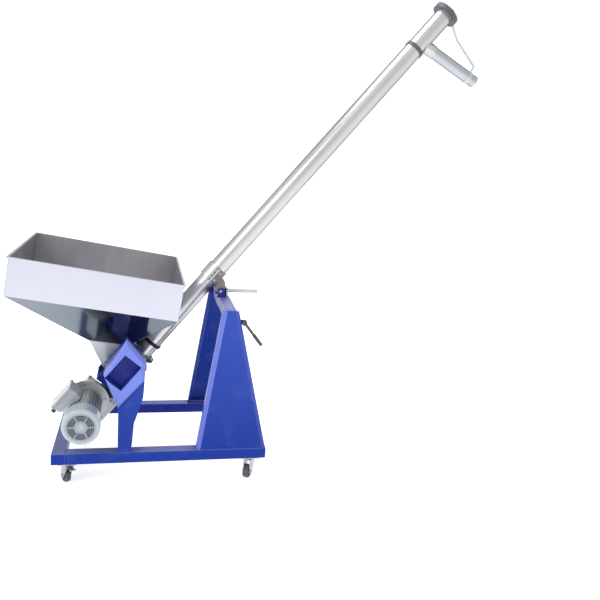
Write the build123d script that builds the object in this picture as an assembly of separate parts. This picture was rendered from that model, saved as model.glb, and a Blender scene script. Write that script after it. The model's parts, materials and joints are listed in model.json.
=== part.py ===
from build123d import *
import os
from math import cos, sin, radians, pi, atan, degrees

os.makedirs("parts", exist_ok=True)

# ---- driving dimensions, mm. +X runs from the motor end to the outlet, +Z is up ----
BASE_L = 990.0            # base frame length
BASE_W = 650.0            # base frame width
BASE_Z = 107.0            # underside of the frame, carried by the casters
RAIL_W = 60.0
RAIL_H = 50.0
RAIL_T = 3.0
AUGER_DEG = 51.0          # tube angle above horizontal
AXIS_X = 191.5            # point on the auger axis at station 0
AXIS_Z = 293.0
TUBE_R = 44.5             # auger tube outside radius
TUBE_BORE_R = 42.0
TUBE_START = 318.0        # stations are measured along the auger axis
TUBE_END = 2583.0
FLANGE_R = 66.0           # top flange
LOW_FLANGE_R = 70.0
SHAFT_R = 16.0
FLIGHT_R = 39.5
FLIGHT_PITCH = 90.0
FLIGHT_T = 3.0
FLIGHT_START = 116.0
FLIGHT_END = 2440.0
OUTLET_S = 2396.0         # where the chute axis meets the auger axis
CHUTE_DROP_DEG = 26.2     # chute angle below horizontal
CHUTE_R = 28.0
CHUTE_BORE_R = 25.5
SPOUT_R = 27.0            # plain end for a hose
SPOUT_LEN = 36.0
CHUTE_LEN = 355.0
TOWER_TOP = 840.0
TOWER_D = 42.0
TOWER_BEND = 19.0         # width of the bevel along the tower's edges
HOPPER_X = 207.5
HOPPER_Z = 1018.8
HOPPER_TILT = 8.0
HOPPER_L = 720.0
HOPPER_W = 767.0
HOPPER_BAND = 165.0
HOPPER_SHEET = 2.0
CENTRES = 63.0            # worm centre distance
WORM_S = -10.0            # station of the worm's axis
MODULE = 2.5
WHEEL_TEETH = 38
WORM_STARTS = 2
WORM_PITCH_R = 15.5
MOTOR_R = 74.0
FAN_COVER_R = 83.0
WHEEL_R = 32.0            # caster wheel
CASTER_TRAIL = 20.0
SWIVEL = (-60.0, 75.0, 55.0, -40.0)   # how each caster is turned at rest
RUN = 0.06                # radial clearance of a running fit

# The row frame's origin is the bottom centre of the whole machine.
SHIFT = Vector(-928.66, 10.25, 0)

RAIL_TOP = BASE_Z + RAIL_H
HALF = BASE_W / 2
A = radians(AUGER_DEG)
# Auger frame: local X is down to the outlet side, local Y is +Y, local Z runs up the tube.
AUGER = Plane(origin=(AXIS_X, 0, AXIS_Z), x_dir=(sin(A), 0, -cos(A)), z_dir=(cos(A), 0, sin(A)))
# Motor frame: local X is +X, local Y is up, local Z runs out towards -Y from the worm's axis.
WORM_X = AXIS_X + WORM_S * cos(A) - CENTRES * sin(A)
WORM_Z = AXIS_Z + WORM_S * sin(A) + CENTRES * cos(A)
MOTOR = Plane(origin=(WORM_X, 0, WORM_Z), x_dir=(1, 0, 0), z_dir=(0, -1, 0))
T = radians(HOPPER_TILT)
HOPPER = Plane(origin=(HOPPER_X, 0, HOPPER_Z), x_dir=(cos(T), 0, -sin(T)), z_dir=(sin(T), 0, cos(T)))
C = radians(CHUTE_DROP_DEG)
CHUTE = Plane(
    origin=(AXIS_X + OUTLET_S * cos(A), 0, AXIS_Z + OUTLET_S * sin(A)),
    x_dir=(0, 1, 0),
    z_dir=(cos(C), 0, -sin(C)),
)


def put(shape, name):
    export_step(shape.moved(Location(SHIFT)), "parts/" + name + ".step")


def box(x0, x1, y0, y1, z0, z1):
    return Pos((x0 + x1) / 2, (y0 + y1) / 2, (z0 + z1) / 2) * Box(x1 - x0, y1 - y0, z1 - z0)


def disc(radius, z0, z1):
    return Pos(0, 0, (z0 + z1) / 2) * Cylinder(radius, z1 - z0)


def ring(outer, inner, z0, z1):
    return disc(outer, z0, z1) - disc(inner, z0 - 1, z1 + 1)


def rod_y(radius, x, z, y0, y1):
    return Pos(x, (y0 + y1) / 2, z) * Rot(90, 0, 0) * Cylinder(radius, y1 - y0)


def rod_x(radius, y, z, x0, x1):
    return Pos((x0 + x1) / 2, y, z) * Rot(0, 90, 0) * Cylinder(radius, x1 - x0)


def side_plate(points, y0, y1):
    # a flat shape drawn in X and Z, given its thickness along Y
    sketch = Plane(origin=(0, y1, 0), x_dir=(1, 0, 0), z_dir=(0, -1, 0)) * Polygon(*points, align=None)
    return extrude(sketch, y1 - y0, dir=(0, -1, 0))


def flat_at(y, points):
    return Plane(origin=(0, y, 0), x_dir=(1, 0, 0), z_dir=(0, -1, 0)) * Polygon(*points, align=None)


def box_tube_x(x0, x1, y0, y1, z0, z1, t):
    return box(x0, x1, y0, y1, z0, z1) - box(x0 + t, x1 - t, y0 + t, y1 - t, z0 + t, z1 - t)


def mirrored(shape):
    return mirror(shape, Plane.XZ)


def auger_point(s, up):
    return (AXIS_X + s * cos(A) - up * sin(A), AXIS_Z + s * sin(A) + up * cos(A))


# ---- base frame ----
y_in = HALF - RAIL_W
rail = box_tube_x(RAIL_W, BASE_L, -HALF, -y_in, BASE_Z, RAIL_TOP, RAIL_T)
put(rail, "rail_near")
put(mirrored(rail), "rail_far")
put(box_tube_x(0, RAIL_W, -HALF, HALF, BASE_Z, RAIL_TOP, RAIL_T), "beam_front")
put(box_tube_x(BASE_L - RAIL_W, BASE_L, -y_in, y_in, BASE_Z, RAIL_TOP, RAIL_T), "beam_rear")

# ---- front legs ----
leg_out = [(292, RAIL_TOP), (352, RAIL_TOP), (362, 300), (380, 356), (402, 430), (406, 498), (291, 369)]
leg_in = [(296, RAIL_TOP + 4), (348, RAIL_TOP + 4), (358, 301), (376, 357), (397, 430), (401, 484)]
leg_in = leg_in + [(295, 365)]
leg = side_plate(leg_out, -HALF, -y_in) - side_plate(leg_in, -HALF + 4, -y_in - 4)
put(leg, "leg_near")
put(mirrored(leg), "leg_far")

# ---- hopper ----
MOUTH_X = 84.0
MOUTH_L = 182.0
MOUTH_W = 150.0
MOUTH_Z = -398.0
THROAT_S = 186.0          # station of the throat's middle


def hopper_body(inset):
    # a straight band, then four slopes down to the mouth
    band_part = box(
        -HOPPER_L / 2 + inset, HOPPER_L / 2 - inset,
        -HOPPER_W / 2 + inset, HOPPER_W / 2 - inset,
        -HOPPER_BAND, 0 if inset == 0 else 1,
    )
    top = Pos(0, 0, -HOPPER_BAND) * Rectangle(HOPPER_L - 2 * inset, HOPPER_W - 2 * inset)
    low_z = MOUTH_Z if inset == 0 else MOUTH_Z - 1
    low = Pos(MOUTH_X, 0, low_z) * Rectangle(MOUTH_L - 2 * inset, MOUTH_W - 2 * inset)
    return band_part + loft([top, low], ruled=True)


bin_shell = hopper_body(0) - hopper_body(HOPPER_SHEET)
rim = box(-HOPPER_L / 2 - 8, HOPPER_L / 2 + 8, -HOPPER_W / 2 - 8, HOPPER_W / 2 + 8, -6, 2)
rim = rim - box(-HOPPER_L / 2 + 2, HOPPER_L / 2 - 2, -HOPPER_W / 2 + 2, HOPPER_W / 2 - 2, -10, 5)
tube_way = AUGER * disc(TUBE_R + 0.3, 300, 900)
put(HOPPER * (bin_shell + rim) - tube_way, "hopper_bin")


def throat_body(inset):
    top = HOPPER * (Pos(MOUTH_X, 0, MOUTH_Z) * Rectangle(MOUTH_L - 2 * inset, MOUTH_W - 2 * inset))
    # the lower rectangle lies along the tube, just inside its skin
    seat = Plane(
        origin=(auger_point(THROAT_S, 16)[0], 0, auger_point(THROAT_S, 16)[1]),
        x_dir=(cos(A), 0, sin(A)),
        z_dir=(-sin(A), 0, cos(A)),
    )
    low = seat * Rectangle(144 - 2 * inset, 82 - 2 * inset)
    return loft([low, top], ruled=True)


throat = throat_body(0) - throat_body(2) - AUGER * disc(TUBE_R, 90, 320)
put(throat, "hopper_throat")

# ---- box wings between the legs and the head box ----
HEAD_HALF = 92.0
wing_edge = [(224, 533), (325, 702), (410, 594), (406, 498), (291, 369)]
wing_skirt = [(231, 533), (325, 690), (404, 592), (400, 501), (294, 381)]


def auger_block(s0, s1, u0, u1, y0, y1):
    return AUGER * box(-u1, -u0, y0, y1, s0, s1)


WIN_S = (200.0, 342.0)
WIN_U = (20.0, 114.0)
wing_face = [(325 + (x - 325) * 0.86, 545 + (z - 545) * 0.86) for x, z in wing_edge]
wing_back = [(325 + (x - 325) * 0.86, 545 + (z - 545) * 0.86) for x, z in wing_skirt]


def bevelled(face, edge, y_face, y_bend, y_open):
    # a plate with sloping borders that turns into a straight skirt
    bevel = loft([flat_at(y_face, face), flat_at(y_bend, edge)], ruled=True)
    return bevel + side_plate(edge, y_bend, y_open)


frame_rim = bevelled(wing_face, wing_edge, -HALF, -HALF + 15, -y_in)
frame_rim = frame_rim - bevelled(wing_back, wing_skirt, -HALF + 5, -HALF + 19, -y_in + 1)
inner_tube = auger_block(WIN_S[0] - 5, WIN_S[1] + 5, WIN_U[0] - 5, WIN_U[1] + 5, -HALF + 5, -HEAD_HALF)
inner_tube = inner_tube & bevelled(wing_face, wing_edge, -HALF, -HALF + 15, -HEAD_HALF)
window = auger_block(WIN_S[0], WIN_S[1], WIN_U[0], WIN_U[1], -HALF - 1, -HEAD_HALF - 5)
web = auger_block(WIN_S[0], WIN_S[1], WIN_U[0], WIN_U[1], -HALF + 46, -HALF + 51)
wing = (frame_rim + inner_tube - window) + web
wing = wing - HOPPER * hopper_body(0)
put(wing, "wing_near")
put(mirrored(wing), "wing_far")

# ---- head box, open towards the hopper ----
head = auger_block(104, 290, -56, 100, -HEAD_HALF, HEAD_HALF)
head = head - auger_block(110, 284, -50, 106, -HEAD_HALF + 6, HEAD_HALF - 6)
head = head - AUGER * disc(TUBE_R, 100, 300) - throat_body(0)
put(head, "head_box")

# ---- tapered tower channels ----
TOWER_FOOT = (652.0, 988.0)
TOWER_HEAD = (749.0, 824.0)


def taper(inset, z0, z1):
    return [
        (TOWER_FOOT[0] + inset, z0),
        (TOWER_FOOT[1] - inset, z0),
        (TOWER_HEAD[1] - inset, z1),
        (TOWER_HEAD[0] + inset, z1),
    ]


def pan(inset, y_face, y_bend, y_open, z0, z1):
    # a tray with a bevelled bend along its edges
    bevel = loft([flat_at(y_face, taper(inset + TOWER_BEND, z0, z1)), flat_at(y_bend, taper(inset, z0, z1))])
    return bevel + side_plate(taper(inset, z0, z1), y_bend, y_open)


tower = pan(0, -HALF, -HALF + 14, -HALF + TOWER_D, RAIL_TOP, TOWER_TOP)
hollow = pan(4.5, -HALF + 4, -HALF + 17, -HALF + TOWER_D + 1, RAIL_TOP - 1, TOWER_TOP + 1)
foot_plate = box(656, 984, -HALF + 15, -HALF + TOWER_D, RAIL_TOP, RAIL_TOP + 5)
tower = (tower - hollow) + foot_plate
put(mirrored(tower), "tower_far")
LEVER_X = 852.0
LEVER_Z = 785.0
bracket = box(834, 862, -300, -294, LEVER_Z - 12, LEVER_Z + 12)
stud = rod_y(5, LEVER_X, LEVER_Z, -318, -299)
put(tower + bracket + stud, "tower_near")

# ---- swing lever on the near tower ----
lever_eye = rod_y(13, LEVER_X, LEVER_Z, -316, -302) - rod_y(5 + RUN, LEVER_X, LEVER_Z, -320, -298)
lever_arm = Pos(LEVER_X, -309, LEVER_Z) * Rot(0, 51.5, 0) * rod_x(6.5, 0, 0, 10, 132)
lever_tip = Pos(LEVER_X, -309, LEVER_Z) * Rot(0, 51.5, 0) * Pos(132, 0, 0) * Sphere(9)
put(lever_eye + lever_arm + lever_tip, "lock_lever")

# ---- crossbar with two ears ----
PIN_X = 766.0
PIN_Z = 876.0
bar_end = HALF - 14
bar = box(762, 812, -bar_end, bar_end, TOWER_TOP - 50, TOWER_TOP)
bar = bar - box(765, 809, -HALF, HALF, TOWER_TOP - 47, TOWER_TOP - 3)
bar_cap = box(762, 812, -HALF, HALF, TOWER_TOP, TOWER_TOP + 5)
ear_shape = [(748, TOWER_TOP + 5), (792, TOWER_TOP + 5), (784, 886), (774, 893), (756, 888)]
ears = side_plate(ear_shape, -46, -38) + side_plate(ear_shape, 38, 46)
ears = ears - rod_y(8, PIN_X, PIN_Z, -50, 50)
put(bar + bar_cap + ears, "tower_crossbar")
put(rod_y(8, PIN_X, PIN_Z, -52, 52), "clamp_pin")

# ---- short round handle behind the crossbar ----
handle = rod_x(10, 0, 872, 803, 956) + rod_x(10.5, 0, 872, 940, 958)
handle = handle + box(796, 804, -38, 38, TOWER_TOP + 5, 884)
put(handle, "push_handle")

# ---- split pipe clamp, bolted along both sides ----
CLAMP_S = 858.0
CLAMP_HALF = 38.0
CLAMP_R = TUBE_R + 6
CLAMP_BOLT_Y = CLAMP_R + 13
cs0 = CLAMP_S - CLAMP_HALF
cs1 = CLAMP_S + CLAMP_HALF
shell = ring(CLAMP_R, TUBE_R, cs0, cs1)
clamp_spots = [(y, s) for y in (-CLAMP_BOLT_Y, CLAMP_BOLT_Y) for s in (CLAMP_S - 20, CLAMP_S + 20)]


def clamp_half(x0, x1, lug_x0, lug_x1):
    half = shell & box(x0, x1, -90, 90, cs0, cs1)
    for side in (-1, 1):
        y_pair = sorted((side * (CLAMP_R - 3), side * (CLAMP_R + 26)))
        half = half + (box(lug_x0, lug_x1, y_pair[0], y_pair[1], cs0, cs1) - disc(TUBE_R, cs0 - 1, cs1 + 1))
    for y, s in clamp_spots:
        half = half - Pos(0, y, s) * Rot(0, 90, 0) * Cylinder(6.5, 60)
    return half


lug = side_plate([(750, 866), (782, 866), (790, 900), (786, 925), (752, 938), (740, 890)], -36, 36)
lug = lug - AUGER * disc(CLAMP_R - 1, cs0 - 60, cs1 + 60) - rod_y(8, PIN_X, PIN_Z, -50, 50)
put(AUGER * clamp_half(0.5, 90, 0.5, 8) + lug, "clamp_saddle")
put(AUGER * clamp_half(-90, -0.5, -8, -0.5), "clamp_cap")
stud = disc(6, -8, 20) + extrude(RegularPolygon(10, 6), 7).moved(Pos(0, 0, 8))
stud = stud + extrude(RegularPolygon(10, 6), 7).moved(Pos(0, 0, -15))
studs = [AUGER * Pos(0, y, s) * Rot(0, 90, 0) * stud for y, s in clamp_spots]
put(Compound(children=studs), "clamp_bolts")

# ---- auger tube and its inlet section ----
inlet = ring(TUBE_R, TUBE_BORE_R, 104, TUBE_START)
inlet = inlet - box(-90, -20, -40, 40, THROAT_S - 66, THROAT_S + 66)
put(AUGER * inlet, "inlet_tube")
tube = ring(TUBE_R, TUBE_BORE_R, TUBE_START, TUBE_END)
outlet_cut = CHUTE * disc(CHUTE_R, 10, 80)
put(AUGER * tube - outlet_cut, "auger_tube")
ring_spans = [
    (LOW_FLANGE_R, TUBE_START - 8, TUBE_START),
    (LOW_FLANGE_R, TUBE_START, TUBE_START + 8),
    (52, 388, 404),
    (49, 2343, 2361),
    (FLANGE_R, TUBE_END - 12, TUBE_END),
]
put(Compound(children=[AUGER * ring(outer, TUBE_R, s0, s1) for outer, s0, s1 in ring_spans]), "tube_rings")
cover = ring(FLANGE_R, SHAFT_R + 1, TUBE_END, TUBE_END + 6) + disc(FLANGE_R, TUBE_END + 6, TUBE_END + 12)
cover = cover + ring(35, 28, TUBE_END - 20, TUBE_END)
put(AUGER * cover, "top_cover")
bearings = [AUGER * ring(28, SHAFT_R + RUN, s, s + 14) for s in (72, TUBE_END - 16)]
put(Compound(children=bearings), "screw_bearings")
put(AUGER * ring(26, SHAFT_R + RUN, 92, 104), "shaft_seal")

# ---- outlet stub, chute pipe and stay ----
around_tube = AUGER * disc(TUBE_R, 2200, 2583)
stub = CHUTE * ring(CHUTE_R + 3, CHUTE_R, 20, 84) - around_tube
put(stub, "outlet_stub")
chute = CHUTE * ring(CHUTE_R, CHUTE_BORE_R, 30, CHUTE_LEN - SPOUT_LEN) - around_tube
chute = chute + CHUTE * ring(SPOUT_R, CHUTE_BORE_R, CHUTE_LEN - SPOUT_LEN, CHUTE_LEN)
put(chute, "chute_pipe")
BAND_AT = CHUTE_LEN - SPOUT_LEN - 9
band = CHUTE * ring(CHUTE_R + 2.5, CHUTE_R, BAND_AT - 8, BAND_AT + 8)
band_x = CHUTE.origin.X + BAND_AT * cos(C)
band_z = CHUTE.origin.Z - BAND_AT * sin(C)
stay_path = [
    (band_x + 28 * sin(C), 0, band_z + 28 * cos(C)),
    (band_x + 62 * sin(C), 0, band_z + 62 * cos(C)),
    (1892, 0, 2192),
    (auger_point(TUBE_END - 8, -FLANGE_R + 3)[0], 0, auger_point(TUBE_END - 8, -FLANGE_R + 3)[1]),
]
stay = band
for a, b in zip(stay_path, stay_path[1:]):
    line = Vector(*b) - Vector(*a)
    seg = Plane(origin=a, z_dir=line) * disc(4, 0, line.length)
    stay = stay + seg + Pos(*a) * Sphere(4)
stay = stay - CHUTE * disc(CHUTE_R, 0, CHUTE_LEN)
stay = stay - AUGER * disc(FLANGE_R, TUBE_END - 12, TUBE_END)
put(stay, "stay_rod")

# ---- auger screw ----
screw_shaft = disc(SHAFT_R, -64, FLIGHT_START) + ring(SHAFT_R, SHAFT_R - 4, FLIGHT_START - 6, TUBE_END - 20)
screw_shaft = screw_shaft + disc(SHAFT_R, TUBE_END - 22, TUBE_END + 4)
flight_w = FLIGHT_R - SHAFT_R + 1
flight_mid = (FLIGHT_R + SHAFT_R - 1) / 2
helix = Helix(pitch=FLIGHT_PITCH, height=FLIGHT_END - FLIGHT_START, radius=flight_mid)
profile = Plane(origin=(flight_mid, 0, 0), x_dir=(1, 0, 0), z_dir=(0, 1, 0)) * Rectangle(flight_w, FLIGHT_T)
flight = sweep(profile, path=helix, is_frenet=True)
screw = screw_shaft + Pos(0, 0, FLIGHT_START) * flight
put(AUGER * screw, "auger_screw")

# ---- blank plates on the hopper's front band ----
plate_x = -HOPPER_L / 2
upper_plate = box(plate_x - 1.5, plate_x, -117, 117, -44, -8)
lower_plate = box(plate_x - 1.5, plate_x, -64, 64, -158, -68)
put(HOPPER * upper_plate, "hopper_plate_upper")
put(HOPPER * lower_plate, "hopper_plate_lower")

# ---- black adapter between the gearbox and the head box ----
adapter = ring(48, 28, 52, 92) + ring(55, 26, 92, 104) + ring(29, 20, 52, 72)
put(AUGER * adapter, "adapter_ring")

# ---- worm gearbox ----
worm_line = Pos(-CENTRES, 0, WORM_S) * Rot(90, 0, 0)
housing = box(-112, 68, -75, 75, -60, 40)
housing = fillet(housing.edges().filter_by(Axis.Z), 14)
housing = housing - box(-100, 56, -63, 63, -48, 41)
housing = housing + disc(42, -74, -58) - disc(SHAFT_R + 1, -80, -40)
housing = housing + worm_line * disc(96, 75, 90) - worm_line * disc(20, 60, 95)
housing = housing + worm_line * disc(30, -80, -75) - worm_line * disc(15 + RUN, -76, -60)
put(AUGER * housing, "gearbox_housing")
cover_plate = box(-112, 68, -75, 75, 40, 48)
cover_plate = fillet(cover_plate.edges().filter_by(Axis.Z), 14) + disc(50, 48, 52)
cover_plate = cover_plate - disc(SHAFT_R + 1, 30, 60)
put(AUGER * cover_plate, "gearbox_cover")
gear_bearings = [AUGER * ring(36, 24 + RUN, s, s + 12) for s in (-47, 27)]
put(Compound(children=gear_bearings), "gearbox_bearings")

# worm wheel
wheel_pitch_r = MODULE * WHEEL_TEETH / 2
wheel_tip = wheel_pitch_r + MODULE
wheel_root = wheel_pitch_r - MODULE * 1.25
lead = pi * MODULE * WORM_STARTS
lead_deg = degrees(atan(lead / (2 * pi * WORM_PITCH_R)))
gear = disc(wheel_tip, WORM_S - 8, WORM_S + 8)
half_pitch = pi * MODULE / 4
tooth_gap = [
    (wheel_root, -half_pitch * 0.62),
    (wheel_root, half_pitch * 0.62),
    (wheel_tip + 1, half_pitch * 1.95),
    (wheel_tip + 1, -half_pitch * 1.95),
]
cutter = extrude(Polygon(*tooth_gap, align=None), 12, both=True)
for k in range(WHEEL_TEETH):
    turn = Rot(0, 0, 180 + k * 360 / WHEEL_TEETH)
    gear = gear - Pos(0, 0, WORM_S) * turn * Rot(-lead_deg, 0, 0) * cutter
gear = gear + disc(24, -48, 39) - disc(SHAFT_R, -60, 60)
put(AUGER * gear, "worm_wheel")

# worm shaft
worm_tip = WORM_PITCH_R + MODULE
worm_root = WORM_PITCH_R - MODULE * 1.25
thread_len = 8 * pi * MODULE
thread_mid = (worm_tip + worm_root - 0.5) / 2
thread_h = worm_tip - worm_root + 0.5
thread_path = Helix(pitch=lead, height=thread_len, radius=thread_mid)
flank = [
    (worm_root - 0.5, -half_pitch * 1.25),
    (worm_root - 0.5, half_pitch * 1.25),
    (worm_tip, half_pitch * 0.42),
    (worm_tip, -half_pitch * 0.42),
]
worm = disc(worm_root, -64, 60)
for k in range(WORM_STARTS):
    section = Plane.XZ * Polygon(*flank, align=None)
    thread = sweep(section, path=thread_path, is_frenet=True)
    worm = worm + Rot(0, 0, k * 360 / WORM_STARTS) * Pos(0, 0, -thread_len / 2) * thread
worm = worm + disc(15, -75, -60) + disc(18, 58, 88) - disc(8, 62, 90)
worm_on_axis = AUGER * Pos(-CENTRES, 0, WORM_S) * Rot(90, 0, 0)
put(worm_on_axis * worm, "worm_shaft")

# ---- motor: distances run out from the auger's mid plane ----
body = ring(MOTOR_R - 8, MOTOR_R - 14, 104, 322)
for k in range(36):
    fin = Rot(0, 0, k * 10) * box(MOTOR_R - 9, MOTOR_R, -1.4, 1.4, 118, 306)
    body = body + fin
body = body + ring(105, 22, 90, 104) + ring(MOTOR_R, 14, 104, 118) + ring(MOTOR_R, 14, 306, 322)
for k in range(4):
    body = body - Rot(0, 0, AUGER_DEG + 45 + k * 90) * Pos(88, 0, 97) * Cylinder(6, 20)
seat_block = Rot(0, 0, AUGER_DEG) * box(-52, 52, 60, 84, 158, 250) - disc(MOTOR_R - 10, 100, 320)
body = body + seat_block
put(MOTOR * body, "motor_housing")
put(MOTOR * ring(MOTOR_R - 14, 43, 150, 290), "motor_stator")
rotor = disc(8, 63, 100) + disc(14 - RUN, 100, 376) + disc(42, 150, 290)
put(MOTOR * rotor, "motor_rotor")
fan = disc(22, 340, 362) + disc(60, 340, 343)
for k in range(9):
    fan = fan + Rot(0, 0, k * 40) * box(20, 66, -1.5, 1.5, 340, 362)
fan = fan - disc(14 - RUN, 330, 380)
put(MOTOR * fan, "cooling_fan")
fan_cover = ring(FAN_COVER_R, FAN_COVER_R - 2, 324, 404) + ring(FAN_COVER_R - 2, MOTOR_R, 322, 326)
fan_cover = fan_cover + loft([Pos(0, 0, 404) * Circle(FAN_COVER_R), Pos(0, 0, 412) * Circle(FAN_COVER_R - 8)])
fan_hollow = loft([Pos(0, 0, 403) * Circle(FAN_COVER_R - 2), Pos(0, 0, 410) * Circle(FAN_COVER_R - 10)])
fan_cover = fan_cover - fan_hollow
for r in (33, 40, 47, 54):
    slot = ring(r + 2.2, r - 2.2, 400, 420)
    for k in range(3):
        slot = slot - Rot(0, 0, k * 60) * box(-90, 90, -3, 3, 395, 425)
    fan_cover = fan_cover - slot
put(MOTOR * fan_cover, "fan_cover")

# ---- terminal box, lid and gland ----
TBOX = MOTOR * Rot(0, 0, AUGER_DEG)
tbox = fillet(box(-62, 62, 84, 122, 152, 256).edges().filter_by(Axis.Y), 8)
tbox = tbox - box(-57, 57, 89, 123, 157, 251)
entry = Pos(-62, 106, 204) * Rot(0, -90, 0)
tbox = tbox + entry * disc(15, -6, 6) - entry * disc(8, -20, 20)
put(TBOX * tbox, "terminal_box")
tlid = fillet(box(-66, 66, 122, 132, 148, 260).edges().filter_by(Axis.Y), 9)
put(TBOX * tlid, "terminal_lid")
gland = ring(8, 6, -8, 6) + extrude(RegularPolygon(13, 6), 10).moved(Pos(0, 0, 6)) + ring(10.5, 6, 16, 32)
gland = entry * (gland - disc(6, -10, 50))
put(TBOX * gland, "cable_gland")

# ---- bolts ----
bolts = []
bolt_head = extrude(RegularPolygon(7, 6), 5)
for pitch_r, s in ((58, TUBE_START + 8), (56, TUBE_END + 12)):
    for k in range(6):
        bolts.append(AUGER * Rot(0, 0, k * 60 + 30) * Pos(pitch_r, 0, s) * bolt_head)
for sx in (-100, 56):
    for sy in (-62, 62):
        bolts.append(AUGER * Pos(sx, sy, 48) * bolt_head)
for k in range(4):
    bolts.append(MOTOR * Rot(0, 0, AUGER_DEG + 45 + k * 90) * Pos(88, 0, 104) * bolt_head)
put(Compound(children=bolts), "hex_bolts")

# ---- casters ----
CASTER_X = (70.0, 920.0)
CASTER_Y = 290.0
spots = [(x, y) for x in CASTER_X for y in (-CASTER_Y, CASTER_Y)]
plates = []
for x, y in spots:
    plate = box(x - 42, x + 42, y - 32, y + 32, BASE_Z - 4, BASE_Z)
    plate = plate - Pos(x, y, BASE_Z) * Cylinder(6 + RUN, 20)
    for dx in (-33, 33):
        for dy in (-22, 22):
            plate = plate - Pos(x + dx, y + dy, BASE_Z) * Cylinder(4.5, 20)
    plates.append(plate)
put(Compound(children=plates), "caster_plates")


def caster_fork(pedal_holes):
    fork = disc(27, BASE_Z - 9, BASE_Z - 4.5) + disc(6, BASE_Z - 10, BASE_Z - 1)
    fork = fork + disc(20, BASE_Z - 14, BASE_Z - 8)
    crown = box(-26, 24, -18, 18, BASE_Z - 17, BASE_Z - 13)
    cheek = [(-31, 24), (-9, 24), (24, BASE_Z - 22), (24, BASE_Z - 13), (-26, BASE_Z - 13), (-32, 56)]
    fork = fork + crown + side_plate(cheek, -18, -15) + side_plate(cheek, 15, 18)
    fork = fork + rod_y(5, -CASTER_TRAIL, WHEEL_R, -21, 21)
    if pedal_holes:
        fork = fork - rod_y(3 + RUN, 18, BASE_Z - 21.5, -30, 30)
    return fork


caster_wheel = rod_y(WHEEL_R, -CASTER_TRAIL, WHEEL_R, -12, 12)
caster_wheel = caster_wheel - rod_y(5 + RUN, -CASTER_TRAIL, WHEEL_R, -20, 20)
caster_wheel = fillet(caster_wheel.edges().filter_by(GeomType.CIRCLE).sort_by(SortBy.RADIUS)[-2:], 4)
for side in (-1, 1):
    groove = rod_y(22, -CASTER_TRAIL, WHEEL_R, 8, 13) - rod_y(11, -CASTER_TRAIL, WHEEL_R, 7, 14)
    caster_wheel = caster_wheel - (groove if side > 0 else mirrored(groove))
for y0, y1 in ((12, 14), (-14, -12)):
    hub_face = rod_y(11, -CASTER_TRAIL, WHEEL_R, y0, y1)
    caster_wheel = caster_wheel + (hub_face - rod_y(5 + RUN, -CASTER_TRAIL, WHEEL_R, y0 - 1, y1 + 1))
pedal = rod_y(3, 18, BASE_Z - 21.5, -19, 19) + box(18, 58, -11, 11, BASE_Z - 23.5, BASE_Z - 20.5)
pedal = pedal + box(52, 58, -14, 14, BASE_Z - 25, BASE_Z - 18.5)
for k, (x, y) in enumerate(spots):
    name = ("front_near", "front_far", "rear_near", "rear_far")[k]
    place = Pos(x, y, 0) * Rot(0, 0, SWIVEL[k])
    put(place * caster_fork(k < 2), "caster_fork_" + name)
    put(place * caster_wheel, "caster_wheel_" + name)
    if k < 2:
        put(place * pedal, "brake_pedal_" + name)
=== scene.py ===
import json
from math import cos, sin, radians, pi

import bmesh
import bpy
from mathutils import Matrix, Vector


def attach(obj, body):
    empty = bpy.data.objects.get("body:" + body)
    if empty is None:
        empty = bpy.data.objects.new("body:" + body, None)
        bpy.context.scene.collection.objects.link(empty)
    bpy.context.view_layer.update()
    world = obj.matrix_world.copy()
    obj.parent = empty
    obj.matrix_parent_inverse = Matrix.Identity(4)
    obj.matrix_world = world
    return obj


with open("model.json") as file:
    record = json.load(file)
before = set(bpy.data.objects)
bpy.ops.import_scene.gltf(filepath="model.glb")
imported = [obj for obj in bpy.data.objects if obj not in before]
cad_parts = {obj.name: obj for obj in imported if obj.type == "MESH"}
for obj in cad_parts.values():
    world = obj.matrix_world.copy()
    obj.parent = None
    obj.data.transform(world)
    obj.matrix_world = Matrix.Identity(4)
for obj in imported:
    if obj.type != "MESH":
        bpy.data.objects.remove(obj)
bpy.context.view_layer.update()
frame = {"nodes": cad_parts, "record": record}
NODES = frame["nodes"]

X, Y, Z = range(3)  # the axes' numbers


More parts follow.
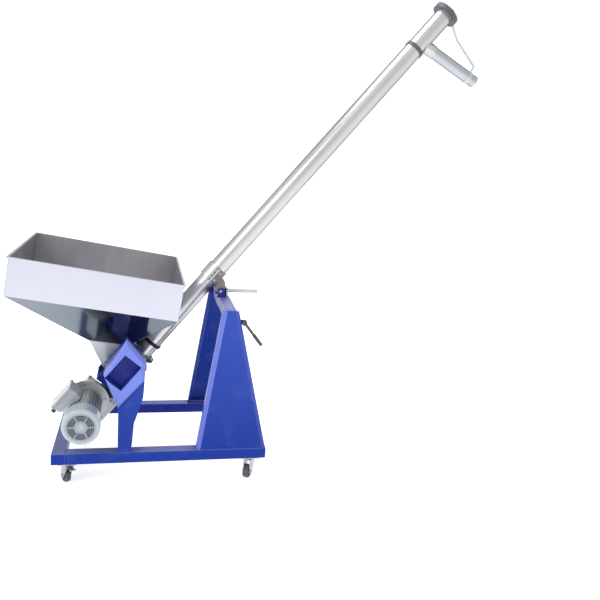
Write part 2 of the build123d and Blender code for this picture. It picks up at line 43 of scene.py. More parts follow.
# ---- shader helpers ----
class Mat:
    """A small builder for node materials. A noise scale is its features per metre."""

    MIX_FACTOR, MIX_A, MIX_B, MIX_RESULT = 0, 6, 7, 2  # the colour sockets of a Mix node

    def __init__(self, name):
        self.material = bpy.data.materials.new(name)
        self.material.use_nodes = True
        self.tree = self.material.node_tree
        self.shader = self.tree.nodes["Principled BSDF"].inputs
        self.place = self.node("TexCoord").outputs["Object"]
        self.geometry = self.node("NewGeometry").outputs

    def node(self, kind, **props):
        n = self.tree.nodes.new("ShaderNode" + kind)
        for key, value in props.items():
            setattr(n, key, value)
        return n

    def feed(self, socket, value):
        if hasattr(value, "is_output"):
            self.tree.links.new(value, socket)
        else:
            socket.default_value = value

    def feed_color(self, socket, color):
        self.feed(socket, color if hasattr(color, "is_output") else (*color, 1))

    def scaled(self, scale, turn=(0, 0, 0)):
        n = self.node("Mapping")
        n.inputs["Scale"].default_value = scale
        n.inputs["Rotation"].default_value = turn
        self.feed(n.inputs["Vector"], self.place)
        return n.outputs["Vector"]

    def noise(self, scale, detail=4.0, rough=0.55, vec=None):
        n = self.node("TexNoise")
        n.inputs["Scale"].default_value = scale
        n.inputs["Detail"].default_value = detail
        n.inputs["Roughness"].default_value = rough
        self.feed(n.inputs["Vector"], vec or self.place)
        return n.outputs["Fac"]

    def mix(self, fac, a, b):
        n = self.node("Mix", data_type="RGBA")
        self.feed(n.inputs[self.MIX_FACTOR], fac)
        self.feed_color(n.inputs[self.MIX_A], a)
        self.feed_color(n.inputs[self.MIX_B], b)
        return n.outputs[self.MIX_RESULT]

    def remap(self, value, low, high, start=0.0, end=1.0):
        """Maps start..end to low..high, held at both ends."""
        n = self.node("MapRange")
        self.feed(n.inputs["Value"], value)
        for key, bound in zip(("From Min", "From Max", "To Min", "To Max"), (start, end, low, high)):
            n.inputs[key].default_value = bound
        return n.outputs["Result"]

    def step(self, value, start, end):
        """0 at start and 1 at end, which may be the lower of the two."""
        return self.remap(value, 0.0, 1.0, start, end)

    def math(self, op, a, b=0.5):
        """Number maths; ABSOLUTE and SQRT don't use b."""
        n = self.node("Math", operation=op)
        self.feed(n.inputs[0], a)
        self.feed(n.inputs[1], b)
        return n.outputs[0]

    def times(self, a, b):
        return self.math("MULTIPLY", a, b)

    def vector(self, op, a, b, result="Vector"):
        n = self.node("VectorMath", operation=op)
        self.feed(n.inputs[0], a)
        self.feed(n.inputs[1], b)
        return n.outputs[result]

    def part(self, vec, axis):
        n = self.node("SeparateXYZ")
        self.feed(n.inputs[0], vec)
        return n.outputs[axis]

    def faces(self, axis):
        """How far the flat surface faces along an axis, from -1 to 1."""
        return self.part(self.geometry["True Normal"], axis)

    def edges(self, radius):
        """1 along sharp edges and 0 on flats, and the rounded normal."""
        bevel = self.node("Bevel", samples=4)
        bevel.inputs["Radius"].default_value = radius
        rounded = bevel.outputs["Normal"]
        same = self.vector("DOT_PRODUCT", rounded, self.geometry["Normal"], "Value")
        return self.remap(same, 1.0, 0.0, 0.8, 0.99), rounded

    def bump(self, height, strength, distance, normal):
        n = self.node("Bump")
        n.inputs["Strength"].default_value = strength
        n.inputs["Distance"].default_value = distance
        self.feed(n.inputs["Height"], height)
        self.feed(n.inputs["Normal"], normal)
        return n.outputs["Normal"]

    # sprayed enamel, shared by the painted pieces
    def orange_peel(self, rounded):
        return self.bump(self.noise(420.0, 2, 0.4), 0.04, 0.0006, rounded)

    def sheen(self, low, high):
        return self.remap(self.noise(16.0, 6, 0.6), low, high, 0.35, 0.7)

    def thin_dust(self, amount):
        return self.times(self.remap(self.noise(9.0, 8, 0.65), 0, 1, 0.52, 0.80), amount)

    def worn(self, edge, start, end):
        return self.times(edge, self.remap(self.noise(55.0, 6, 0.7), 0, 0.8, start, end))

    def done(self, color, rough, metal=0.0, normal=None, coat=0.0, aniso=0.0, spec=0.5, rim=1.0):
        """Fills in the shader. rim tints a metal's reflection at grazing angles; a rim below 1 paints that
        reflection darker along the edges.
        """
        self.feed_color(self.shader["Base Color"], color)
        self.feed(self.shader["Roughness"], rough)
        self.feed(self.shader["Metallic"], metal)
        self.feed(self.shader["Specular IOR Level"], spec)
        self.feed_color(self.shader["Specular Tint"], (rim, rim, rim))
        self.feed(self.shader["Coat Weight"], coat)
        self.feed(self.shader["Coat Roughness"], 0.06)
        self.feed(self.shader["Anisotropic"], aniso)
        if normal is not None:
            self.feed(self.shader["Normal"], normal)
        return self.material


# ---- places on the machine, in metres ----
ORIGIN_X, MID_Y = 928.66, 10.25  # the row frame's origin, from the front beam and the middle, in mm


def at(x, y, z):
    """Drawing millimetres (front beam at x 0, middle at y 0, floor at z 0) to the row frame."""
    return Vector(((x - ORIGIN_X) / 1000, (y + MID_Y) / 1000, z / 1000))


def frame_of(origin, x_dir, z_dir):
    """The matrix of a frame with its x and z axes along two directions."""
    x, z = Vector(x_dir), Vector(z_dir)
    return Matrix.Translation(origin) @ Matrix((x, z.cross(x), z)).transposed().to_4x4()


def mm(frame_, x, y, z):
    """A point given in millimetres of one of the frames below."""
    return frame_ @ Vector((x / 1000, y / 1000, z / 1000))


def way(frame_, x, y, z):
    """A direction of one of the frames below."""
    return frame_.to_3x3() @ Vector((x, y, z))


AUGER_LEAN, HOPPER_TILT, CHUTE_DROP, LEVER_DROP = (radians(a) for a in (51.0, 8.0, 26.2, 51.5))
WORM_CENTRES = 0.063

# z runs up the auger, up out of the hopper, out along the motor, and out along the chute
AUGER = frame_of(at(191.5, 0, 293), (sin(AUGER_LEAN), 0, -cos(AUGER_LEAN)),
                 (cos(AUGER_LEAN), 0, sin(AUGER_LEAN)))
HOPPER = frame_of(at(207.5, 0, 1018.8), (cos(HOPPER_TILT), 0, -sin(HOPPER_TILT)),
                  (sin(HOPPER_TILT), 0, cos(HOPPER_TILT)))
MOTOR = frame_of(AUGER @ Vector((-WORM_CENTRES, 0, -0.010)), (1, 0, 0), (0, -1, 0))
TBOX = MOTOR @ Matrix.Rotation(AUGER_LEAN, 4, "Z")
CHUTE = frame_of(AUGER @ Vector((0, 0, 2.396)), (0, 1, 0), (cos(CHUTE_DROP), 0, -sin(CHUTE_DROP)))

UP_AUGER = way(AUGER, 0, 0, 1)
ALONG_CHUTE = way(CHUTE, 0, 0, 1)
DOWN = Vector((0, 0, -1))

# the base frame, in drawing millimetres
RAIL_OUT, RAIL_IN, RAIL_TOP, RAIL_FOOT = 325, 265, 157, 107
FRONT_BEAM_BACK, REAR_BEAM_FRONT, REAR_BEAM_BACK = 60, 931, 989
LEG_FRONT, LEG_BACK = 292, 352
WING_SEAM_Y, WING_SEAM = 311, ((295, 373.5), (404, 496))  # where a wing's skirt meets its leg
TOWER_FRONT, TOWER_BACK, TOWER_SIDE, TOWER_LIP = 652, 988, 311, 284
TOWER_BEND = 19  # width of the bevel along a tower's edges
CROSSBAR_X, CROSSBAR_END, CROSSBAR_TOP = (763, 811), 309, 845
EAR_X, EAR_Y = (750, 791), (37.5, 46.5)  # the ears on the crossbar

# the casters: swivels, plate bolts, wheel and fork
CORNERS = {"front_near": (70, -290), "front_far": (70, 290), "rear_near": (920, -290), "rear_far": (920, 290)}
PLATE_FOOT, BOLT_X, BOLT_Y = 103, 33, 22
CASTER_TRAIL, WHEEL_R, FORK_Y, FORK_TOP = 20, 32, 18, 98.2

# radii of the tube and outlet stub, and places along the auger, in millimetres
TUBE_R, STUB_R = 44.5, 31
LOWER_FLANGE, RING, TOP_FLANGE, TOP_FLANGE_END = 326, 404, 2571, 2595
WINDOW = (15, 119), (195, 347)  # the head box's window, across and along the auger

# the hopper, in millimetres of its own frame
BIN_X, BIN_Y, BAND_FOOT, BIN_FOOT = 360, 383.5, -165, -398
MOUTH_FRONT, MOUTH_BACK, MOUTH_Y = -7, 175, 75
PLATE_FACE, RIVETS = -361.4, ((111, -12), (111, -40), (58, -74), (58, -152))  # the blank plates

# screws on the terminal lid and round the fan cover, in millimetres of the motor's frames
LID_X, LID_Z, LID_OUT = 57, (157, 251), 132
FAN_R, FAN_Z = 82.6, 332


# ---- materials ----
def paint(name, color, dark, rough, coat=0.0, dust=0.05, tail=None):
    """Sprayed enamel: orange peel, slight tone variation, thin dust, and paint worn on edges.

    A tail colour takes over between 1.2 and 1.6 m up, for the pieces at the auger's outlet.
    """
    m = Mat(name)
    edge, rounded = m.edges(0.0018)
    tone = m.mix(m.remap(m.noise(2.2, 4), 0, 1, 0.3, 0.7), dark, color)
    if tail:
        tone = m.mix(m.step(m.part(m.place, Z), 1.2, 1.6), tone, tail)
    tone = m.mix(m.thin_dust(dust), tone, (0.55, 0.55, 0.60))
    tone = m.mix(m.worn(edge, 0.60, 0.72), tone, (0.30, 0.31, 0.34))
    return m.done(tone, m.sheen(rough * 0.8, rough * 1.35), 0.0, m.orange_peel(rounded), coat, spec=0.22)


def frame_paint(name, rim_tone=None):
    """Blue enamel, worn on edges, with painted shade on the inner faces and low down,
    and painted highlights on the bends towards the motor and on the faces that look up.

    A rim tone also paints a reflection on the outer faces that look sideways.
    """
    m = Mat(name)
    edge, rounded = m.edges(0.0016)
    across = m.math("ABSOLUTE", m.math("SUBTRACT", m.part(m.place, Y), MID_Y / 1000))
    # inboard marks the inner faces of the frame, which get painted shade
    inboard = m.step(across, 0.308, 0.290)
    skin = m.step(across, 0.300, 0.309)
    sideways = m.math("ABSOLUTE", m.faces(Y))
    # painted light from above: the blue is darker low down and lighter high up
    tone = m.mix(m.step(m.part(m.place, Z), 0.10, 0.85), (0.002, 0.024, 0.235), (0.026, 0.060, 0.345))
    tone = m.mix(m.remap(m.noise(1.6, 4), 0.0, 0.35, 0.40, 0.70), tone, (0.001, 0.020, 0.19))
    # painted shade: the inner faces are darkened
    tone = m.mix(m.times(inboard, 0.75), tone, (0.008, 0.012, 0.19))
    # painted highlight: the outer bends that face the motor are lightened, standing in for a glint of light
    bend = m.times(m.step(sideways, 0.97, 0.85), m.step(sideways, 0.25, 0.45))
    to_motor = m.remap(m.step(m.faces(X), 0.3, -0.2), 0.15, 0.6)
    tone = m.mix(m.times(m.times(bend, skin), to_motor), tone, (0.16, 0.20, 0.60))
    if rim_tone:
        # painted reflection: the outer faces that look sideways are lightened towards the rim tone
        rim = m.times(skin, m.step(sideways, 0.35, 0.55))
        tone = m.mix(m.times(rim, 0.8), tone, rim_tone)
    # painted light on the faces that look up, added to thin dust; both lighten the blue
    lit_tops = m.times(m.step(m.faces(Z), 0.75, 0.95), 0.20)
    tone = m.mix(m.math("ADD", lit_tops, m.thin_dust(0.05)), tone, (0.50, 0.54, 0.72))
    tone = m.mix(m.worn(edge, 0.58, 0.70), tone, (0.36, 0.38, 0.52))
    return m.done(tone, m.sheen(0.24, 0.40), 0.0, m.orange_peel(rounded), spec=0.14)


def fan_paint(name, color):
    """Silver enamel with a darker ring round the air inlet."""
    m = Mat(name)
    edge, rounded = m.edges(0.0016)
    away = m.vector("SUBTRACT", m.place, MOTOR.translation)
    x, z = m.part(away, X), m.part(away, Z)
    radius = m.math("SQRT", m.math("ADD", m.times(x, x), m.times(z, z)))
    dark_ring = m.times(m.step(radius, 0.004, 0.026), m.step(radius, 0.072, 0.060))
    dark_ring = m.times(dark_ring, m.remap(m.noise(60.0, 6, 0.6), 0.55, 0.95, 0.3, 0.7))
    tone = m.mix(m.remap(m.noise(2.2, 4), 0, 1, 0.3, 0.7), tuple(c * 0.85 for c in color), color)
    tone = m.mix(m.times(dark_ring, 0.85), tone, (0.12, 0.14, 0.17))
    tone = m.mix(m.times(edge, 0.4), tone, (0.62, 0.65, 0.70))
    return m.done(tone, m.sheen(0.28, 0.42), 0.0, m.orange_peel(rounded), 0.2)


def steel(name, color, rough, grain, strength, rim, turn=(0, 0, 0)):
    """Rolled or ground steel: fine grain one way, faint hand marks, and a darker rim: a painted dark
    reflection at grazing angles.
    """
    m = Mat(name)
    edge, rounded = m.edges(0.0010)
    fine = m.noise(1.0, 3, 0.6, m.scaled(grain, turn))
    cloud = m.noise(2.6, 5, 0.5)
    tone = m.mix(m.remap(cloud, 0, 1, 0.30, 0.75), tuple(c * 0.90 for c in color), color)
    tone = m.mix(m.remap(fine, 0.0, 0.12, 0.35, 0.65), tone, (0.35, 0.35, 0.37))
    tone = m.mix(m.times(edge, 0.2), tone, (0.85, 0.85, 0.88))
    gloss = m.remap(cloud, rough * 0.85, rough * 1.2, 0.35, 0.7)
    return m.done(tone, gloss, 1.0, m.bump(fine, strength, 0.0003, rounded), aniso=0.3, rim=rim)


def hopper_sheet(name):
    """Satin band outside, polished slopes below it darkened with painted shade, and a duller, streaked inside
    darkened with painted shade.
    """
    m = Mat(name)
    edge, rounded = m.edges(0.0010)
    # inside marks the faces that look into the hopper, which get painted shade
    away = m.vector("SUBTRACT", m.place, mm(HOPPER, 0, 0, -20))
    outward = m.vector("DOT_PRODUCT", m.geometry["True Normal"], away, "Value")
    inside = m.step(outward, 0.0, -0.01)
    # painted shade: the polished slopes, which face down, get a darker tone than the band
    slope = m.step(m.faces(Z), -0.2, -0.4)
    fine = m.noise(1.0, 3, 0.6, m.scaled((900, 6, 6)))
    cloud = m.noise(2.0, 4, 0.5)
    tone = m.mix(m.remap(cloud, 0, 1, 0.3, 0.75), (0.51, 0.52, 0.60), (0.57, 0.575, 0.66))
    tone = m.mix(slope, tone, (0.27, 0.31, 0.355))
    tone = m.mix(m.remap(fine, 0.0, 0.10, 0.35, 0.65), tone, (0.30, 0.31, 0.34))
    streaks = m.noise(14.0, 6, 0.6, m.scaled((1, 1, 0.25)))
    # painted shade inside the hopper, with streaks
    tone = m.mix(inside, tone, m.mix(streaks, (0.26, 0.255, 0.27), (0.54, 0.53, 0.56)))
    tone = m.mix(m.times(edge, 0.25), tone, (0.62, 0.62, 0.68))
    rough = m.remap(cloud, 0.30, 0.38, 0.35, 0.7)
    rough = m.math("SUBTRACT", rough, m.times(slope, 0.22))
    rough = m.math("ADD", rough, m.times(inside, 0.12))
    return m.done(tone, rough, 1.0, m.bump(fine, 0.02, 0.0003, rounded), aniso=0.2, rim=0.5)


def cast(name, color, rough, metal, grain=260.0, strength=0.35):
    """Cast metal or matt coating: fine pitted skin with grime, rubbed lighter on the edges."""
    m = Mat(name)
    edge, rounded = m.edges(0.0018)
    skin = m.noise(grain, 5, 0.65)
    cloud = m.noise(9.0, 6, 0.6)
    grimy = tuple(c * 0.6 + 0.05 * 0.4 for c in color)
    tone = m.mix(m.remap(cloud, 0.0, 0.45, 0.45, 0.75), color, grimy)
    tone = m.mix(m.times(edge, 0.35), tone, tuple(min(1, c * 1.6 + 0.08) for c in color))
    gloss = m.remap(skin, rough * 0.85, rough * 1.15, 0.3, 0.7)
    return m.done(tone, gloss, metal, m.bump(skin, strength, 0.0005, rounded))


def turned(name, color, rough, dirt=0.3):
    """Machined or plated metal with a little dirt."""
    m = Mat(name)
    edge, rounded = m.edges(0.0008)
    cloud = m.noise(30.0, 5, 0.6)
    tone = m.mix(m.remap(cloud, 0, dirt, 0.4, 0.7), color, tuple(c * 0.45 for c in color))
    tone = m.mix(m.times(edge, 0.4), tone, tuple(min(1, c * 1.5) for c in color))
    fine = m.noise(1.0, 2, 0.5, m.scaled((700, 700, 60)))
    gloss = m.remap(cloud, rough * 0.8, rough * 1.4)
    return m.done(tone, gloss, 1.0, m.bump(fine, 0.05, 0.0003, rounded))


def rubber(name, color, rough=0.6):
    """Rubber or nylon with grey dust in its grain."""
    m = Mat(name)
    rounded = m.edges(0.001)[1]
    dust = m.noise(70.0, 7, 0.7)
    tone = m.mix(m.remap(dust, 0.0, 0.35, 0.45, 0.8), color, (0.32, 0.30, 0.28))
    gloss = m.remap(dust, rough * 0.85, min(1, rough * 1.3))
    return m.done(tone, gloss, 0.0, m.bump(dust, 0.2, 0.0006, rounded))


MATS = {
    "blue_paint": frame_paint("cobalt_enamel"),
    # rims of 0.03 and 0.0 paint a dark reflection along the edges of the satin and polished steel
    "stainless": steel("stainless_satin", (0.54, 0.54, 0.55), 0.30, (500, 6, 6), 0.012, 0.03,
                       turn=(0, AUGER_LEAN, 0)),
    "stainless_mirror": steel("stainless_polished", (0.42, 0.45, 0.49), 0.13, (8, 8, 300), 0.01, 0.0),
    "dark_flange": paint("dark_enamel", (0.010, 0.010, 0.013), (0.006, 0.006, 0.008), 0.36,
                         tail=(0.085, 0.080, 0.10)),
    "black_cast": cast("black_casting", (0.022, 0.022, 0.026), 0.5, 0.0),
    "aluminium_cast": cast("aluminium_casting", (0.50, 0.52, 0.52), 0.42, 0.85),
    "silver_paint": paint("silver_enamel", (0.33, 0.36, 0.39), (0.26, 0.285, 0.31), 0.32, 0.2, dust=0.2),
    "steel": turned("machined_steel", (0.50, 0.50, 0.51), 0.3),
    "dark_steel": turned("oiled_steel", (0.10, 0.10, 0.075), 0.42),
    "zinc": turned("zinc_plate", (0.40, 0.41, 0.43), 0.36, 0.35),
    "grey_clamp": cast("primer_grey", (0.20, 0.18, 0.165), 0.6, 0.0, 200.0, 0.25),
    "rubber": rubber("black_rubber", (0.045, 0.050, 0.065)),
    "plate_dark": paint("blank_plate_dark", (0.005, 0.016, 0.075), (0.003, 0.010, 0.05), 0.36),
    "plate_light": paint("blank_plate_light", (0.66, 0.42, 0.02), (0.54, 0.33, 0.01), 0.40),
    "bronze": turned("wheel_bronze", (0.60, 0.42, 0.18), 0.3),
    "plastic_black": rubber("black_nylon", (0.018, 0.018, 0.02), 0.42),
    "copper_iron": cast("winding_pack", (0.22, 0.12, 0.07), 0.5, 0.4),
}

# pieces that need more than their slot's material
OWN = {
    "hopper_bin": hopper_sheet("stainless_hopper"),
    "hopper_throat": steel("stainless_throat", (0.66, 0.68, 0.70), 0.48, (8, 8, 400), 0.01, 0.6),
    "fan_cover": fan_paint("fan_cover_enamel", (0.36, 0.40, 0.45)),
}
# the wings' paint gets a painted reflection on its sideways outer faces
OWN["wing_near"] = OWN["wing_far"] = frame_paint("cobalt_enamel_panel", (0.17, 0.22, 0.62))
SLOT = {s["node"]: s["material_slot"] for s in frame["record"]["subparts"]}
for name, obj in NODES.items():
    obj.data.materials.clear()
    obj.data.materials.append(OWN.get(name) or MATS[SLOT[name]])


# ---- mesh helpers for added detail ----
def to_object(name, bm_, mat, body, smooth=True):
    """Makes a piece from a bmesh, and puts it on its body."""
    mesh = bpy.data.meshes.new(name)
    bmesh.ops.recalc_face_normals(bm_, faces=bm_.faces)
    for face in bm_.faces:
        face.smooth = smooth
    bm_.to_mesh(mesh)
    bm_.free()
    mesh.materials.append(mat)
    o = bpy.data.objects.new(name, mesh)
    bpy.context.collection.objects.link(o)
    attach(o, body)


def circle(frame_, radius, z, count=40):
    """Points round a frame's z axis."""
    turns = [2 * pi * k / count for k in range(count)]
    return [mm(frame_, radius * cos(t), radius * sin(t), z) for t in turns]


def spun(bm_, centre, u, v, radius, turns):
    """One ring of vertices."""
    return [bm_.verts.new(centre + (u * cos(t) + v * sin(t)) * radius) for t in turns]


def sweep_bead(bm_, points, radius, sides=8, step=0.003, ripple=0.18, closed=False):
    """A weld bead along a polyline: a round run whose size ripples like laid weld."""
    taper = 0.55  # the size of each run's ends
    pts = [Vector(p) for p in points]
    turns = [t * 2 * pi / sides for t in range(sides)]
    laid = 0
    for a, b in zip(pts, pts[1:] + ([pts[0]] if closed else [])):
        d = (b - a).normalized()
        u = d.orthogonal().normalized()
        v = d.cross(u)
        n = max(2, int((b - a).length / step))
        last = None
        for i in range(n + 1):
            swell = 1 + ripple * sin(laid * 1.9) + 0.08 * sin(laid * 0.37)
            size = radius * swell * (taper if i in (0, n) else 1.0)
            laid += 1
            row = spun(bm_, a.lerp(b, i / n), u, v, size, turns)
            if last:
                for t in range(sides):
                    bm_.faces.new((last[t], last[(t + 1) % sides], row[(t + 1) % sides], row[t]))
            else:
                bm_.faces.new(row[::-1])
            last = row
        bm_.faces.new(last)


def lathe(bm_, outline, origin, axis, segments):
    """Spins an outline of (distance along the axis, radius) pairs, in metres, into a closed skin.

    An outline that ends on the axis is capped at its start, and any other one closes as a ring.
    """
    is_ring = outline[-1][1] > 0
    if not is_ring:
        outline = [(outline[0][0], 0)] + outline
    z = Vector(axis).normalized()
    u = z.orthogonal().normalized()
    v = z.cross(u)
    turns = [t * 2 * pi / segments for t in range(segments)]
    rows = []
    for h, r in outline:
        centre = Vector(origin) + z * h
        rows.append(spun(bm_, centre, u, v, r, turns) if r else [bm_.verts.new(centre)])
    for a, b in zip(rows, rows[1:] + (rows[:1] if is_ring else [])):
        for t in range(segments):
            t2 = (t + 1) % segments
            if len(a) == 1:
                bm_.faces.new((a[0], b[t2], b[t]))
            elif len(b) == 1:
                bm_.faces.new((a[t], a[t2], b[0]))
            else:
                bm_.faces.new((a[t], a[t2], b[t2], b[t]))


def fastener(bm_, base, axis, r, h, washer=1.35, sides=6):
    """A washer with a chamfered head on it; washer is its radius over the head's."""
    plate = [(0.0, r * washer), (h * 0.18, r * washer), (h * 0.22, r * washer * 0.94), (h * 0.22, 0)]
    lathe(bm_, plate, base, axis, 24)
    head = [(h * 0.2, r), (h * 0.86, r), (h, r * 0.80), (h * 0.94, r * 0.5), (h * 0.94, 0)]
    lathe(bm_, head, base, axis, sides)


# ---- weld beads on the painted frame ----
bm = bmesh.new()
for sgn in (-1, 1):
    foot = [(TOWER_FRONT, TOWER_LIP), (TOWER_FRONT, TOWER_SIDE), (TOWER_FRONT + TOWER_BEND, RAIL_OUT),
            (TOWER_BACK - TOWER_BEND, RAIL_OUT), (TOWER_BACK, TOWER_SIDE), (TOWER_BACK, TOWER_LIP)]
    sweep_bead(bm, [at(x, sgn * y, RAIL_TOP + 0.6) for x, y in foot], 0.0024)
    leg = [(LEG_FRONT, RAIL_OUT), (LEG_BACK, RAIL_OUT), (LEG_BACK, RAIL_IN), (LEG_FRONT, RAIL_IN)]
    sweep_bead(bm, [at(x, sgn * y, RAIL_TOP + 0.4) for x, y in leg], 0.0022, closed=True)
    front = [(RAIL_IN, RAIL_TOP), (RAIL_OUT, RAIL_TOP), (RAIL_OUT, RAIL_FOOT + 1)]
    sweep_bead(bm, [at(FRONT_BEAM_BACK, sgn * y, z) for y, z in front], 0.0018)
    sweep_bead(bm, [at(x, sgn * RAIL_IN, RAIL_TOP) for x in (REAR_BEAM_FRONT, REAR_BEAM_BACK)], 0.0018)
    sweep_bead(bm, [at(x, sgn * WING_SEAM_Y, z) for x, z in WING_SEAM], 0.0030)
    (u1, u2), (s1, s2) = WINDOW
    window = [mm(AUGER, -u, sgn * 92.5, s) for u, s in ((u1, s1), (u1, s2), (u2, s2), (u2, s1))]
    sweep_bead(bm, window, 0.0026, closed=True)
    for y in EAR_Y:
        sweep_bead(bm, [at(x, sgn * y, CROSSBAR_TOP + 0.4) for x in EAR_X], 0.0020)
    sweep_bead(bm, [at(x, sgn * CROSSBAR_END, CROSSBAR_TOP + 0.2) for x in CROSSBAR_X], 0.0014)
to_object("frame_welds", bm, MATS["blue_paint"], "frame")

# ---- seams and beads in stainless: the hopper, the tube's flanges and ring, the outlet stub ----
bm = bmesh.new()
corners = [(-BIN_X, -BIN_Y), (BIN_X, -BIN_Y), (BIN_X, BIN_Y), (-BIN_X, BIN_Y)]
mouth = [(MOUTH_FRONT, -MOUTH_Y), (MOUTH_BACK, -MOUTH_Y), (MOUTH_BACK, MOUTH_Y), (MOUTH_FRONT, MOUTH_Y)]
for (x, y), (mouth_x, mouth_y) in zip(corners, mouth):
    seam = [mm(HOPPER, x, y, -8), mm(HOPPER, x, y, BAND_FOOT), mm(HOPPER, mouth_x, mouth_y, BIN_FOOT)]
    sweep_bead(bm, seam, 0.0013, 6, 0.006, 0.10)
sweep_bead(bm, [mm(HOPPER, x, y, BIN_FOOT) for x, y in mouth], 0.0020, 6, 0.004, closed=True)
for along in (LOWER_FLANGE + 0.6, TOP_FLANGE - 0.6, RING + 0.6):
    sweep_bead(bm, circle(AUGER, TUBE_R + 0.6, along), 0.0018, 6, 0.004, closed=True)


def onto_tube(start, d, radius):
    """Where a line from start along d comes out through a cylinder on the auger's axis."""
    w = start - AUGER.translation
    w, e = w - UP_AUGER * w.dot(UP_AUGER), d - UP_AUGER * d.dot(UP_AUGER)
    b, c = w.dot(e) / e.dot(e), (w.dot(w) - radius ** 2) / e.dot(e)
    return start + d * (-b + (b * b - c) ** 0.5)


stub_joint = [onto_tube(p, ALONG_CHUTE, (TUBE_R + 0.3) / 1000) for p in circle(CHUTE, STUB_R, 0, 36)]
sweep_bead(bm, stub_joint, 0.0019, 6, 0.004, closed=True)
to_object("stainless_seams", bm, MATS["stainless"], "frame")

# ---- chute end: a rolled lip inside the spout ----
bm = bmesh.new()
lip = [(0.3520, 0.0256), (0.3534, 0.0249), (0.3546, 0.0249), (0.3550, 0.0256), (0.3549, 0.0264)]
lathe(bm, lip, CHUTE.translation, ALONG_CHUTE, 48)
to_object("spout_lip", bm, MATS["stainless_mirror"], "frame")

# ---- caster plate bolts, and washers on the tube's two bolted flanges ----
bm = bmesh.new()
for x, y in CORNERS.values():
    for dx in (-BOLT_X, BOLT_X):
        for dy in (-BOLT_Y, BOLT_Y):
            fastener(bm, at(x + dx, y + dy, PLATE_FOOT), DOWN, 0.0060, 0.0045)
washer_ring = [(0.0, 0.0092), (0.0009, 0.0092), (0.0012, 0.0086), (0.0012, 0.0070)]
for k in range(6):
    a = radians(k * 60 + 30)
    for along, radius in ((LOWER_FLANGE, 58), (TOP_FLANGE_END, 56)):
        lathe(bm, washer_ring, mm(AUGER, radius * cos(a), radius * sin(a), along), UP_AUGER, 24)
to_object("plate_bolts", bm, MATS["zinc"], "frame", smooth=False)

# ---- screws of the terminal lid and fan cover, and rivets of the blank plates ----
bm = bmesh.new()
for x in (-LID_X, LID_X):
    for z in LID_Z:
        fastener(bm, mm(TBOX, x, LID_OUT, z), way(TBOX, 0, 1, 0), 0.0034, 0.0030, 1.3, 16)
for k in range(4):
    a = radians(45 + k * 90) + AUGER_LEAN
    on_cover = mm(MOTOR, FAN_R * cos(a), FAN_R * sin(a), FAN_Z)
    fastener(bm, on_cover, way(MOTOR, cos(a), sin(a), 0), 0.0030, 0.0030, 1.3, 16)
rivet = [(0, 0.0024), (0.0008, 0.0022), (0.0013, 0.0012), (0.0015, 0)]
for y, z in RIVETS:
    for sgn in (-1, 1):
        lathe(bm, rivet, mm(HOPPER, PLATE_FACE, sgn * y, z), way(HOPPER, -1, 0, 0), 16)
to_object("cover_screws", bm, MATS["steel"], "frame")

# ---- seal rings on the gearbox's open end and its blind worm cap ----
bm = bmesh.new()
seal = [(0.0, 0.033), (0.0018, 0.033), (0.0022, 0.031), (0.0010, 0.026), (0.0024, 0.021), (0.0004, 0.0172)]
lathe(bm, seal, mm(AUGER, 0, 0, -74), way(AUGER, 0, 0, -1), 48)
cap = [(0.0, 0.027), (0.0020, 0.027), (0.0030, 0.025), (0.0026, 0.019), (0.0012, 0.016), (0.0012, 0)]
lathe(bm, cap, mm(MOTOR, 0, 0, -80), way(MOTOR, 0, 0, -1), 48)
to_object("gearbox_seals", bm, MATS["rubber"], "frame")

# ---- axle nuts, swivel caps and tread ribs of the casters, each turned as its CAD fork is ----
TURN = {"front_near": -60, "front_far": 75, "rear_near": 55, "rear_far": -40}
race = [(0.0, 0.0272), (0.0012, 0.0280), (0.0030, 0.0280), (0.0042, 0.0272)]
tread = [(0.0, 0.0321), (0.0012, 0.0323), (0.0024, 0.0321)]
for corner, (x, y) in CORNERS.items():
    place = Matrix.Translation(at(x, y, 0)) @ Matrix.Rotation(radians(TURN[corner]), 4, "Z")
    bm = bmesh.new()
    for sgn in (-1, 1):
        axle_end = mm(place, -CASTER_TRAIL, sgn * FORK_Y, WHEEL_R)
        fastener(bm, axle_end, way(place, 0, sgn, 0), 0.0075, 0.0062, 1.25)
    lathe(bm, race, mm(place, 0, 0, FORK_TOP), (0, 0, 1), 40)
    to_object("caster_hardware_" + corner, bm, MATS["zinc"], "fork_" + corner, smooth=False)
    bm = bmesh.new()
    for sgn in (-1, 1):
        rib = mm(place, -CASTER_TRAIL, sgn * 5 - 1.2, WHEEL_R)
        lathe(bm, tread, rib, way(place, 0, 1, 0), 56)
    to_object("tread_ribs_" + corner, bm, MATS["rubber"], "wheel_" + corner)

# ---- lever grip: a ribbed sleeve near the tip ----
bm = bmesh.new()
lever_way = Vector((cos(LEVER_DROP), 0, -sin(LEVER_DROP)))
grip = [(0.0, 0.0066), (0.001, 0.0082)]
for k in range(9):
    grip += [(0.003 + k * 0.005, 0.0086), (0.0055 + k * 0.005, 0.0078)]
grip += [(0.049, 0.0082), (0.050, 0.0066)]
lathe(bm, grip, at(852, -309, 785) + lever_way * 0.072, lever_way, 28)
to_object("lever_grip", bm, MATS["plastic_black"], "lever")

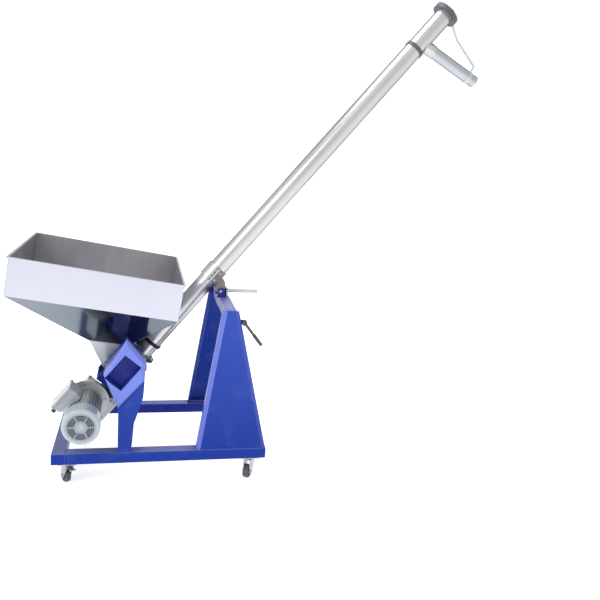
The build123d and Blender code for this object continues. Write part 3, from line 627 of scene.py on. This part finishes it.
# ---- camera: the near side, from above and a little from the motor's end ----
YAW, PITCH, ROLL = radians(14.25), radians(-12.38), radians(4.44)
EYE = (-0.5552, -3.1946, 1.5563)
ahead = Vector((sin(YAW) * cos(PITCH), cos(YAW) * cos(PITCH), sin(PITCH)))
side = Vector((cos(YAW), -sin(YAW), 0))
up = side.cross(ahead)
right = side * cos(ROLL) + up * sin(ROLL)
top = up * cos(ROLL) - side * sin(ROLL)
cam = bpy.data.objects.new("camera", bpy.data.cameras.new("camera"))
bpy.context.collection.objects.link(cam)
cam.data.sensor_width = 36.0
cam.data.lens = 38.93
cam.data.clip_end = 60
cam.matrix_world = Matrix.Translation(EYE) @ Matrix((right, top, -ahead)).transposed().to_4x4()
bpy.context.scene.camera = cam

# ---- studio ----
world = bpy.data.worlds.new("studio")
world.use_nodes = True
sky = world.node_tree.nodes["Background"]
sky.inputs["Color"].default_value = (0.99, 1.0, 1.0, 1)
sky.inputs["Strength"].default_value = 1.03
bpy.context.scene.world = world
bpy.context.scene.view_settings.view_transform = "Standard"


def area(name, place, aim, size, power):
    """A rectangular light at a place, turned to a point."""
    light = bpy.data.lights.new(name, "AREA")
    light.shape = "RECTANGLE"
    light.size, light.size_y = size
    light.energy = power
    o = bpy.data.objects.new(name, light)
    bpy.context.collection.objects.link(o)
    o.location = place
    o.rotation_euler = (Vector(aim) - Vector(place)).to_track_quat("-Z", "Y").to_euler()


area("key", (-3.2, -2.6, 3.6), (-0.2, 0, 0.8), (2.6, 2.6), 60)
area("top", (0.0, 0.2, 4.4), (0, 0, 0.4), (2.4, 1.6), 70)
area("strip", (-3.9, -1.7, 0.9), (-0.2, 0, 0.5), (0.7, 1.8), 30)
area("back", (1.5, 3.6, 3.4), (0, 0, 1.1), (3.0, 2.0), 30)

# the floor glows a little, so it stays as white as the sky
floor_mesh = bpy.data.meshes.new("floor")
bm = bmesh.new()
bmesh.ops.create_grid(bm, x_segments=24, y_segments=24, size=40)
bm.to_mesh(floor_mesh)
bm.free()
floor = bpy.data.objects.new("floor", floor_mesh)
bpy.context.collection.objects.link(floor)
ground = Mat("studio_floor")
ground.done(ground.mix(ground.noise(2.0, 3), (0.86, 0.86, 0.87), (0.90, 0.90, 0.90)), 0.7, spec=0.1)
ground.feed_color(ground.shader["Emission Color"], (1, 1, 1))
ground.feed(ground.shader["Emission Strength"], 0.46)
floor_mesh.materials.append(ground.material)
